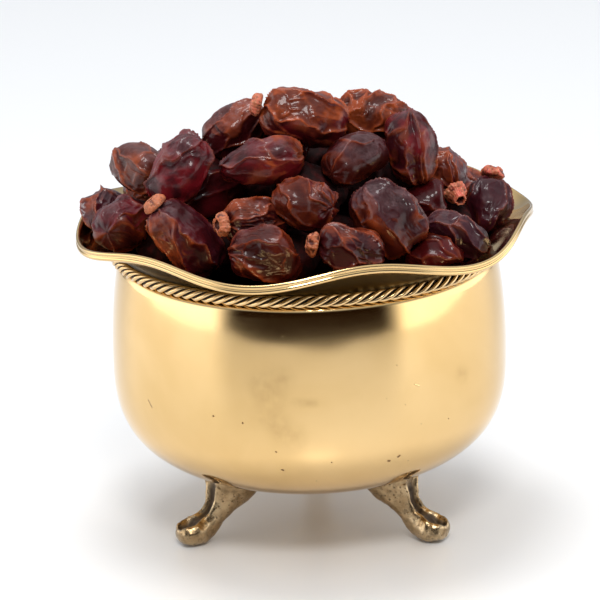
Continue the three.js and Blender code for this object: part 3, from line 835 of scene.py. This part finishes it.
def make_foot(name, degrees, sizes, finish, seed):
    stations = through(FOOT_STATIONS, 11)
    side = full_turn(FOOT_SIDES)
    middle = stations[:, :2]
    along = unit(np.gradient(middle, axis=0))
    across = np.sin(side)
    face = np.cos(side)
    full = np.abs(across) ** 0.85 * np.sign(across)
    # The face is a channel between two rims, cut back at the knee; the back is drawn in at the waist
    channel = np.exp(-((across / FOOT_GROOVE) ** 4)) * (face > 0)
    rim = hump(np.abs(across), *FOOT_RIM) * (face > 0)
    rings = []
    hollows = []

    def narrowed(up, depth, height, reach):
        return 1 - depth * hump(up, height, reach)

    for (out, up, thick, wide, groove), way in zip(stations, along):
        waist = narrowed(up, *FOOT_WAIST)
        knee = narrowed(up, *FOOT_KNEE)
        front = np.where(face < 0, waist, knee) * face * thick + (rim * 0.1 - channel * groove) * thick
        hollows.append(channel * smoothstep(0.1, 0.5, groove) + 0 * front)
        rings.append(np.column_stack([out - way[1] * front, wide * full, up - FOOT_SOLE + way[0] * front]))
    points = np.vstack(rings)
    hollow = np.concatenate(hollows)
    quads = np.array(loft_faces(len(stations), FOOT_SIDES, False))
    tip = [stations[-1, 0] + 0.4, 0, stations[-1, 1] - FOOT_SOLE]
    ends = np.array([[stations[0, 0], 0, stations[0, 1]], tip])
    normals = vertex_normals(points, quads)
    shifted = points + seed * 31.0
    lumps = NOISE(shifted / 5.2) * 0.34 + SECOND_NOISE(shifted / 2.1) * 0.17 + NOISE(shifted / 0.95) * 0.07
    bumps = SECOND_NOISE(shifted / 1.7) * 0.3 * hollow
    points = points + normals * (lumps + bumps - 0.1)[:, None]
    points = np.vstack([points, ends])
    hollow = np.concatenate([hollow, [1, 0]])
    under = underside(np.hypot(points[:, 0], points[:, 1]), *body_size(sizes))
    seam = smoothstep(1.6, 0.2, under - points[:, 2])
    hollow = np.maximum(hollow, seam * 0.9)
    points[:, 2] = np.clip(points[:, 2], 0, under + FOOT_SINK)
    turn = math.radians(degrees - 90)
    x = points[:, 0] * math.cos(turn) - points[:, 1] * math.sin(turn)
    y = points[:, 0] * math.sin(turn) + points[:, 1] * math.cos(turn)
    points = np.column_stack([x, y, points[:, 2]])
    faces = loft_faces(len(stations), FOOT_SIDES)
    make_piece(f"{name}_cast", points, faces, finish, "cast_brass", [name], hollow=hollow)


def cube_ball(side):
    """A ball of even squares: unit points and faces."""
    grid = np.tan(np.linspace(-1, 1, side + 1) * math.pi / 4)
    u, v = np.meshgrid(grid, grid, indexing="ij")
    one = np.ones_like(u)
    sheets = [(one, u, v), (-one, v, u), (v, one, u), (u, -one, v), (u, v, one), (v, u, -one)]
    points = np.vstack([np.stack(sheet, axis=2).reshape(-1, 3) for sheet in sheets])
    row = side + 1
    corner = (np.arange(side)[:, None] * row + np.arange(side)).ravel()
    square = np.column_stack([corner, corner + row, corner + row + 1, corner + 1])
    quads = np.vstack([square + k * row * row for k in range(6)])
    _, first, same = np.unique(np.round(points, 5), axis=0, return_index=True, return_inverse=True)
    quads = same.ravel()[quads]
    return unit(points[first]), quads


def harmonics(ways, degree=5):
    """Smooth functions of direction, up to a degree."""
    terms = []
    for powers in itertools.product(range(degree + 1), repeat=3):
        if sum(powers) in (degree, degree - 1):
            terms.append(np.prod(ways ** np.array(powers), axis=1))
    return np.column_stack(terms)


def spread(count):
    """Directions spread evenly over a ball."""
    z = 1 - (2 * np.arange(count) + 1) / count
    angle = np.arange(count) * math.pi * (3 - math.sqrt(5))
    out = np.sqrt(1 - z * z)
    return np.column_stack([out * np.cos(angle), out * np.sin(angle), z])


class Fruit:
    """A CAD date made smooth, in its own frame: X along its length, millimetres."""

    def __init__(self, node):
        points, faces = node_points(node)
        tree = BVHTree.FromPolygons(points.tolist(), faces)
        self.centre = (points.min(axis=0) + points.max(axis=0)) / 2
        moved = points - points.mean(axis=0)
        _, axes = np.linalg.eigh(moved.T @ moved)
        self.axes = axes[:, ::-1]
        if np.linalg.det(self.axes) < 0:
            self.axes[:, 2] *= -1
        local = (points - self.centre) @ self.axes
        self.half = (local.max(axis=0) - local.min(axis=0)) / 2
        ways = spread(PROBES)
        stretched = (ways * self.half) @ self.axes.T
        start = Vector(self.centre)
        sizes = []
        for way in stretched:
            hit = tree.ray_cast(start, Vector(way))
            sizes.append(hit[3] / np.linalg.norm(way) if hit[0] else 1.0)
        self.fit, *_ = np.linalg.lstsq(harmonics(ways), np.array(sizes), rcond=1e-6)

    def surface(self, ways):
        size = harmonics(ways) @ self.fit
        return ways * self.half * size[:, None]

    def world(self, local):
        return self.centre + local @ self.axes.T


def folds_between(places, girth, centres, tilt, stretch):
    """How far each place is from the fold between its two nearest panels, and its own panel."""
    around = np.vstack([centres + (0, shift) for shift in (-girth, 0, girth)])
    gap = places[:, None, :] - around[None, :, :]
    along = (gap[..., 0] * math.cos(tilt) + gap[..., 1] * math.sin(tilt)) / stretch
    across = gap[..., 1] * math.cos(tilt) - gap[..., 0] * math.sin(tilt)
    away = np.hypot(along, across)
    nearest = np.argpartition(away, 1, axis=1)[:, :2]
    pair = np.take_along_axis(away, nearest, axis=1)
    first = nearest[np.arange(len(places)), np.argmin(pair, axis=1)]
    return np.abs(pair[:, 0] - pair[:, 1]), first % len(centres)


def dried(fruit, ways, quads, look, seed):
    """The shrunken skin over a smooth date: crests, sunken panels between them and wrinkles."""
    random = np.random.default_rng(seed)
    base = fruit.surface(ways)
    # Blunt ends: the last part of the length is fuller than in the plain body
    base[:, 1:] *= 1 + BLUNT * smoothstep(*BLUNT_FROM_TO, np.abs(base[:, :1]) / fruit.half[0])
    normals = vertex_normals(base, quads)
    girth = 2 * math.pi * fruit.half[1:].mean()
    length = 2 * fruit.half[0]
    turn = np.arctan2(base[:, 2], base[:, 1]) / (2 * math.pi) * girth
    shifted = base + seed * 17.3
    warp = np.column_stack([NOISE(shifted / 9.0), SECOND_NOISE(shifted / 9.0)]) * 3.0
    warp += np.column_stack([SECOND_NOISE(shifted / 3.6), NOISE(shifted / 3.6)]) * 0.8
    places = np.column_stack([base[:, 0], turn]) + warp
    tilt = math.radians(look["lay"] * random.choice((-1, 1)))

    def panels(count, stretch):
        lengthwise = random.uniform(-0.5, 0.5, count) * length
        centres = np.column_stack([lengthwise, random.uniform(0, girth, count)])
        depth = random.uniform(0.65, 1.15, count)
        fold, panel = folds_between(places, girth, centres, tilt, stretch)
        return fold, depth[panel]

    big_fold, big_depth = panels(look["panels"], 2.1)
    small_fold, small_depth = panels(look["panels"] * SMALL_PER_BIG, 1.8)
    patchy = smoothstep(-0.35, 0.45, NOISE(shifted / 9.0 + 5.0))
    rough = 1 - patchy
    if "rough" in look:
        side = normals @ (fruit.axes.T @ unit(np.array(look["rough"])))
        rough = smoothstep(-0.1, 0.6, side + 0.5 * NOISE(shifted / 6.0))
    tips = smoothstep(0.0, 0.45, np.linalg.norm(ways[:, 1:], axis=1))
    big = 1 - np.exp(-big_fold / BIG_FOLD)
    small = 1 - np.exp(-((small_fold / SMALL_FOLD) ** 1.2))
    creases = SECOND_NOISE.folds(np.column_stack([places / (3.4, 1.4), base[:, 2] / 4]))
    lines = NOISE.folds(np.column_stack([places / (1.7, 0.7), base[:, 0] / 5]))
    fine = look["fine"]
    sunk = 1.25 * look["deep"] * big * big_depth * (0.7 + 0.3 * patchy)
    sunk -= 0.32 * hump(big_fold, 0, 0.5)
    sunk += 0.95 * fine * small * small_depth * rough
    sunk -= fine * (0.22 * creases * (0.2 + 0.8 * rough) + 0.06 * lines)
    sunk = sunk * (0.3 + 0.7 * tips) + (0.3 + 0.35 * look["deep"]) * (1 - tips)
    pucker = np.cos(9 * turn / girth * 2 * math.pi + 2 * NOISE(shifted / 4.0))
    ends = hump(np.abs(ways[:, 0]), 0.93, 0.1)
    sunk += 0.14 * pucker * ends
    sunk += 0.5 * NOISE(shifted / 11.0)
    local = base - normals * (sunk - 0.15 - 0.3 * look["deep"])[:, None]
    crest = hump(big_fold, 0, 0.9) * (0.5 + 0.5 * patchy)
    crest = np.clip(crest + fine * rough * (0.7 * hump(small_fold, 0, 0.5) + 0.3 * creases), 0, 1)
    hollow = np.clip(sunk / (1.25 * look["deep"] + 0.4), 0, 1)
    return local, crest, hollow


def side_of(normals, points, seed, way, share, width=0.45):
    """1 on the side of a thing that faces a way, 0 on the other, with a ragged edge."""
    along = normals @ unit(np.array(way))
    ragged = 0.45 * NOISE(points / 8.0 + seed) + 0.2 * SECOND_NOISE(points / 3.0 + seed)
    return smoothstep(-0.2, width - 0.2, along + ragged + share)


def make_date(node, look, side, skin, seed):
    ways, quads = cube_ball(side)
    fruit = Fruit(node)
    local, crest, hollow = dried(fruit, ways, quads, look, seed)
    points = fruit.world(local)
    outward = points[quads].mean(axis=1) - points.mean(axis=0)
    faces = quads[:, ::-1] if (outward * crossed(points, quads)).sum() < 0 else quads
    points[:, 2] = np.minimum(points[:, 2], CAD_BOX[1][2] / MM)
    normals = vertex_normals(points, faces)
    *warm_way, warm_share = look.get("warm", (0, 0, 1, -1.1))
    *film_way, film_share = look.get("film", (0, 0, 1, -0.8))
    warm = side_of(normals, points, seed, warm_way, warm_share)
    # The film faces up and is strongest on the crests: dry bloom with painted sheen
    film = side_of(normals, points, seed + 40, film_way, film_share - 0.3, 0.75) * (0.45 + 0.55 * crest)
    finish = date_skin(f"skin_{node}", skin, look)
    shares = {"crest": crest, "hollow": hollow, "warm": warm, "film": film}
    make_piece(f"{node}_dried", points, faces, finish, "date_skin", [node], **shares)


def far_look(random):
    """A date on the side that the picture doesn't show."""
    return dried_as(
        random.uniform(0, 40),
        int(random.integers(7, 14)),
        random.uniform(1.0, 2.0),
        random.uniform(0.4, 0.8),
        random.uniform(0.0, 0.8),
        random.uniform(0.0, 0.7),
        random.uniform(0.1, 0.8),
        warm=(*random.uniform(-1, 1, 3), random.uniform(-0.5, 0.2)),
        film=(*random.uniform(-0.4, 0.4, 2), 1, random.uniform(-0.6, -0.2)),
    )


def make_cap(node, shape, pink, crumple, skin, seed):
    """The ringed cap at a date's head, with the hole that its stalk left."""
    points, _ = node_points(node)
    fruit, _ = node_points(node.removesuffix("_cap"))
    middle = points.mean(axis=0)
    moved = points - middle
    values, axes = np.linalg.eigh(moved.T @ moved)
    odd = 0 if values[1] - values[0] > values[2] - values[1] else 2
    axis = axes[:, odd]
    axis = axis * np.sign(axis @ (middle - (fruit.min(axis=0) + fruit.max(axis=0)) / 2))
    seat = middle + axis * (moved @ axis).min()
    side = unit(np.cross(axis, (0.3, 0.5, 0.8)))
    other = np.cross(axis, side)
    outline = through(CAP_OUTLINES[shape], 6)
    angle = full_turn(CAP_SIDES)
    lobes = 1 + 0.06 * np.cos(6 * angle + seed) + (0.02 + 0.05 * crumple) * np.cos(3 * angle + 2 * seed)
    out = outline[:, :1] * lobes
    up = np.repeat(outline[:, 1:], CAP_SIDES, axis=1)
    ribs = np.cos(19 * angle + seed) * 0.09 * np.minimum(out, 3)
    out = out + ribs * smoothstep(1.8, 3.0, outline[:, :1])
    local = np.stack([out * np.cos(angle), out * np.sin(angle), up], axis=2).reshape(-1, 3)
    shifted = local + seed * 7.7
    wrinkle = NOISE(shifted / 1.9) * 0.42 * crumple + SECOND_NOISE(shifted / 0.9) * 0.16 * (0.4 + crumple)
    bend = NOISE(shifted / 6.0) * 0.5 * crumple
    outward = unit(local * (1, 1, 0))
    local = local + outward * (wrinkle - 0.1)[:, None] + np.column_stack([bend, bend, wrinkle * 0.4])
    local[:, 2] = np.maximum(local[:, 2], -0.6)
    # Down the hole and in the wrinkles' recesses the cap gets brown skin and painted shade
    inside = np.arange(len(outline)) > len(outline) * 0.76
    down_hole = np.repeat(np.where(inside, 1.0, 0.0), CAP_SIDES)
    hollow = np.clip(down_hole + np.clip(-wrinkle * 2.4, 0, 0.6), 0, 1)
    local = np.vstack([local, [[0, 0, outline[0, 1]], [0, 0, outline[-1, 1]]]])
    hollow = np.concatenate([hollow, [0, 1]])
    placed = seat + local[:, :1] * side + local[:, 1:2] * other + local[:, 2:] * axis
    faces = loft_faces(len(outline), CAP_SIDES)
    finish = cap_skin(f"skin_{node}", skin, pink)
    make_piece(f"{node}_dried", placed, faces, finish, "cap", [node], hollow=hollow)


def make_hidden(node, voxel, finish, seed):
    """Dates that lie under others: smooth and wrinkled, in one piece, seen only through gaps."""
    points, faces = node_points(node)
    mesh = bpy.data.meshes.new(f"{node}_rough")
    mesh.from_pydata((points * MM).tolist(), [], faces)
    rough = bpy.data.objects.new(f"{node}_rough", mesh)
    bpy.context.scene.collection.objects.link(rough)
    remesh = rough.modifiers.new("remesh", "REMESH")
    remesh.mode = "VOXEL"
    remesh.voxel_size = voxel * MM
    smooth = rough.modifiers.new("smooth", "SMOOTH")
    smooth.factor = 0.6
    smooth.iterations = 14
    shaped = rough.evaluated_get(bpy.context.evaluated_depsgraph_get()).to_mesh()
    places, squares = points_and_faces(shaped)
    normals = triples(shaped.vertices, "normal")
    rough.to_mesh_clear()
    bpy.data.objects.remove(rough)
    bpy.data.meshes.remove(mesh)
    shifted = places + seed * 9.1
    fold = NOISE.folds(shifted / 6.5)
    wrinkle = SECOND_NOISE.folds(shifted / 3.0)
    lift = 0.9 * fold + 0.4 * wrinkle - 0.7
    points = places + normals * lift[:, None]
    make_piece(f"{node}_dried", points, squares, finish, "date_skin", [node])


def setting(kind, name, description, default, **more):
    return kind(name=name, description=description, default=default, **more)


def colour_property(*texts_and_default):
    return setting(FloatVectorProperty, *texts_and_default, subtype="COLOR", size=3, min=0, max=1)


def length_property(*texts_and_default):
    return setting(FloatProperty, *texts_and_default, unit="LENGTH", precision=4, min=0)


def angle_property(*texts_and_default):
    return setting(FloatProperty, *texts_and_default, subtype="ANGLE")


def count_property(*texts_and_default, low=1):
    return setting(IntProperty, *texts_and_default, min=low)


class DatesBowlSizes(bpy.types.PropertyGroup):
    widest: length_property("Widest radius", "Radius of the bowl's body where it is widest", 0.0793)
    widest_height: length_property("Widest height", "Height of the widest place above the table", 0.074)
    rope_radius: length_property("Rope ring radius", "Radius of the middle of the rope ring", 0.0767)
    rope_height: length_property("Rope ring height", "Height of the rope ring above the table", 0.1166)
    rope_thickness: length_property("Rope thickness", "Thickness of the twisted wire", 0.0049)
    rope_turns: count_property("Rope turns", "Turns of the twist round the ring", 26, low=3)
    bowl_segments: count_property("Bowl segments", "Faces round the bowl", 192, low=24)
    shown_detail: count_property("Front detail", "Faces along a sixth of a front date", 46)
    far_detail: count_property("Far detail", "Faces along a sixth of a far date", 26)


class DatesBrassColours(bpy.types.PropertyGroup):
    spun: colour_property("Spun brass", "Satin body and mouth", (0.77, 0.535, 0.255))
    deep: colour_property("Deep brass", "Slightly darker clouds in the sheet", (0.68, 0.455, 0.195))
    smudge: colour_property("Smudge", "Handled places on the body", (0.42, 0.26, 0.10))
    tarnish: colour_property("Tarnish", "Pits in the spun sheet", (0.16, 0.085, 0.035))
    # Tarnish and painted shade on the sheet under the mouth
    crevice: colour_property("Crevice", "Unpolished sheet under the mouth", (0.13, 0.085, 0.028))
    wire: colour_property("Wire", "Crests of the rope ring", (0.68, 0.47, 0.235))
    # Dirt in the pits; between the rope's strands it also stands for painted shade
    grime: colour_property("Grime", "Dirt between strands and in pits", (0.022, 0.012, 0.006))
    cast: colour_property("Cast brass", "Body of the feet", (0.36, 0.25, 0.135))
    worn: colour_property("Worn brass", "Rubbed parts of the feet", (0.58, 0.435, 0.26))
    patina: colour_property("Patina", "Brown skin in the hollows of the feet", (0.065, 0.04, 0.022))


class DatesFruitColours(bpy.types.PropertyGroup):
    panel: colour_property("Panel", "Sunken skin", (0.042, 0.0026, 0.0024))
    purple: colour_property("Purple", "Sunken skin of purple dates", (0.033, 0.0048, 0.0098))
    flush: colour_property("Flush", "Red glow where the skin is thin", (0.15, 0.006, 0.010))
    brown: colour_property("Brown", "Skin of reddish brown dates", (0.085, 0.009, 0.003))
    amber: colour_property("Amber", "Skin of orange brown dates", (0.36, 0.068, 0.017))
    pale: colour_property("Pale", "Skin of light brown dates", (0.17, 0.04, 0.017))
    # Painted shade: the bottoms of the folds, and the hidden dates
    shade: colour_property("Shade", "Bottom of the folds", (0.012, 0.0018, 0.0018))
    # Dry greyish film, which on the upper sides also stands for painted sheen
    film: colour_property("Film", "Dry greyish film", (0.19, 0.108, 0.115))
    cap_orange: colour_property("Cap orange", "Woody cap", (0.48, 0.145, 0.055))
    cap_pink: colour_property("Cap pink", "Papery cap", (0.62, 0.09, 0.06))
    cap_pale: colour_property("Cap fibre", "Dry fibres of a cap", (0.82, 0.48, 0.30))
    # Brown skin round the hole, and painted shade in the folds and down the hole
    cap_dark: colour_property("Cap hollow", "Folds and hole of a cap", (0.09, 0.012, 0.006))


class DatesStageSettings(bpy.types.PropertyGroup):
    eye: setting(
        FloatVectorProperty, "Camera", "Where the camera stands", (-0.003344, -1.2, 0.467342), subtype="XYZ"
    )
    down: angle_property("Down", "How far the camera looks down", math.radians(17.308))
    lean: angle_property("Lean", "How far the camera is rolled", math.radians(-1.626))
    lens: setting(FloatProperty, "Lens", "Focal length on the sensor", 187.54, subtype="DISTANCE_CAMERA")
    floor: colour_property("Floor", "Colour of the table", (0.86, 0.86, 0.86))


class DATES_OT_bowl(bpy.types.Operator):
    """Make the spun brass bowl with its waved, hemmed mouth"""

    bl_idname = "dates.bowl"
    bl_label = "Spun bowl"

    def execute(self, context):
        make_bowl(context.scene.dates_sizes, context.scene.dates_brass)
        return {"FINISHED"}


class DATES_OT_rope(bpy.types.Operator):
    """Make the twisted ring round the neck"""

    bl_idname = "dates.rope"
    bl_label = "Rope ring"

    def execute(self, context):
        make_rope(context.scene.dates_sizes, context.scene.dates_brass)
        return {"FINISHED"}


class DATES_OT_feet(bpy.types.Operator):
    """Make the three cast feet"""

    bl_idname = "dates.feet"
    bl_label = "Cast feet"

    def execute(self, context):
        finish = cast_brass(context.scene.dates_brass)
        for seed, (name, degrees) in enumerate(FOOT_ANGLES.items()):
            make_foot(name, degrees, context.scene.dates_sizes, finish, seed)
        return {"FINISHED"}


class DATES_OT_dates(bpy.types.Operator):
    """Make each date that can be seen"""

    bl_idname = "dates.dates"
    bl_label = "Dates"

    def execute(self, context):
        sizes = context.scene.dates_sizes
        random = np.random.default_rng(FAR_SEED)
        names = sorted(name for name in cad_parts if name.removeprefix("date_").isdigit())
        for seed, name in enumerate(names):
            look = CHARACTERS.get(name) or far_look(random)
            side = sizes.shown_detail if "film" in CHARACTERS.get(name, {}) else sizes.far_detail
            make_date(name, look, side, context.scene.dates_fruit, seed + 1)
        return {"FINISHED"}


class DATES_OT_caps(bpy.types.Operator):
    """Make the caps that some dates still have"""

    bl_idname = "dates.caps"
    bl_label = "Date caps"

    def execute(self, context):
        names = sorted(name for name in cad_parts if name.endswith("_cap"))
        for seed, name in enumerate(names):
            make_cap(name, *CAPS.get(name, FAR_CAP), context.scene.dates_fruit, seed)
        return {"FINISHED"}


class DATES_OT_hidden(bpy.types.Operator):
    """Make the dates that lie under the others"""

    bl_idname = "dates.hidden"
    bl_label = "Hidden dates"

    def execute(self, context):
        finish = shaded_skin(context.scene.dates_fruit)
        for seed, (name, voxel) in enumerate(HIDDEN_STEPS.items()):
            make_hidden(name, voxel, finish, seed)
        return {"FINISHED"}


def soft_light(name, where, size, power, tint):
    lamp = bpy.data.lights.new(name, "AREA")
    lamp.shape = "RECTANGLE"
    lamp.size, lamp.size_y = size
    lamp.energy = power
    lamp.color = tint
    holder = bpy.data.objects.new(name, lamp)
    holder.location = where
    aim = Vector(LIGHTS_AIM) - Vector(where)
    holder.rotation_euler = aim.to_track_quat("-Z", "Y").to_euler()
    bpy.context.scene.collection.objects.link(holder)


def surroundings(scene):
    """A pale room with bright walls at both sides, dark in front, where the picture is taken from."""
    world = bpy.data.worlds.new("pale_room")
    scene.world = world
    finish = Finish(world)
    way = finish.node("ShaderNodeTexCoord", {}, "Generated")
    height = finish.parts(way)[2]
    across, back, _ = finish.parts(finish.vector("NORMALIZE", finish.vector("MULTIPLY", way, (1, 1, 0))))
    front = back * -1.0
    side = across.math("ABSOLUTE")
    walls = finish.step(side, 0.62, 0.86) * finish.step(height, 0.42, 0.18)
    dark = finish.step(front, 0.50, 0.76) * finish.step(height, 0.6, 0.32)
    tone = finish.blend(finish.step(height, 0.2, 0.8), ROOM_LOW, ROOM_HIGH)
    tone = finish.blend(walls, tone, ROOM_WALLS)
    tone = finish.blend(dark, tone, ROOM_DARK)
    background = finish.node("ShaderNodeBackground", {"Color": tone, "Strength": 1.0})
    finish.node("ShaderNodeOutputWorld", {"Surface": background})


class DATES_OT_stage(bpy.types.Operator):
    """Make the camera, the pale table and the soft lights"""

    bl_idname = "dates.stage"
    bl_label = "Stage"

    def execute(self, context):
        stage = context.scene.dates_stage
        scene = context.scene
        camera = bpy.data.cameras.new("camera")
        camera.lens = stage.lens
        camera.sensor_width = SENSOR
        camera.clip_end = 20
        eye = bpy.data.objects.new("camera", camera)
        tilt = Matrix.Rotation(math.pi / 2 - stage.down, 4, "X") @ Matrix.Rotation(stage.lean, 4, "Z")
        eye.matrix_world = Matrix.Translation(stage.eye) @ tilt
        scene.collection.objects.link(eye)
        scene.camera = eye
        scene.view_settings.view_transform = "Standard"
        material, finish = new_finish("table", stage)
        here = finish.place()
        cloud = finish.noise(here, 6.0, 3.0)
        tone = finish.blend(cloud * 0.3, "floor", mixed(colour(stage, "floor"), (0.9, 0.88, 0.86), 0.5))
        grain = finish.bump(finish.noise(here, 900.0), 0.00002, 0.3)
        finish.surface(Base_Color=tone, Roughness=0.3, Normal=grain)
        mesh = bpy.data.meshes.new("table")
        left, front, right, back = TABLE
        corners = [(left, front, 0), (right, front, 0), (right, back, 0), (left, back, 0)]
        mesh.from_pydata(corners, [], [(0, 1, 2, 3)])
        mesh.materials.append(material)
        table = bpy.data.objects.new("table", mesh)
        scene.collection.objects.link(table)
        for name, light in SOFTBOXES.items():
            soft_light(name, *light)
        surroundings(scene)
        return {"FINISHED"}


OPERATORS = (
    DATES_OT_stage,
    DATES_OT_bowl,
    DATES_OT_rope,
    DATES_OT_feet,
    DATES_OT_dates,
    DATES_OT_caps,
    DATES_OT_hidden,
)
SETTINGS = {
    "dates_sizes": DatesBowlSizes,
    "dates_brass": DatesBrassColours,
    "dates_fruit": DatesFruitColours,
    "dates_stage": DatesStageSettings,
}


class DATES_PT_panel(bpy.types.Panel):
    """The pieces of the bowl of dates"""

    bl_idname = "DATES_PT_panel"
    bl_label = "Bowl of dried dates"
    bl_space_type = "VIEW_3D"
    bl_region_type = "UI"
    bl_category = "Dates"

    def draw(self, context):
        for operator in OPERATORS:
            self.layout.operator(operator.bl_idname)
        for name, group in SETTINGS.items():
            box = self.layout.box()
            for key in group.__annotations__:
                box.prop(getattr(context.scene, name), key)


def register():
    for group in SETTINGS.values():
        bpy.utils.register_class(group)
    for name, group in SETTINGS.items():
        setattr(bpy.types.Scene, name, PointerProperty(type=group))
    for operator in OPERATORS:
        bpy.utils.register_class(operator)
    bpy.utils.register_class(DATES_PT_panel)


def unregister():
    bpy.utils.unregister_class(DATES_PT_panel)
    for operator in reversed(OPERATORS):
        bpy.utils.unregister_class(operator)
    for name in SETTINGS:
        delattr(bpy.types.Scene, name)
    for group in SETTINGS.values():
        bpy.utils.unregister_class(group)


def main():
    register()
    bpy.ops.dates.stage()
    bpy.ops.dates.bowl()
    bpy.ops.dates.rope()
    bpy.ops.dates.feet()
    bpy.ops.dates.dates()
    bpy.ops.dates.caps()
    bpy.ops.dates.hidden()


if __name__ == "__main__":
    main()
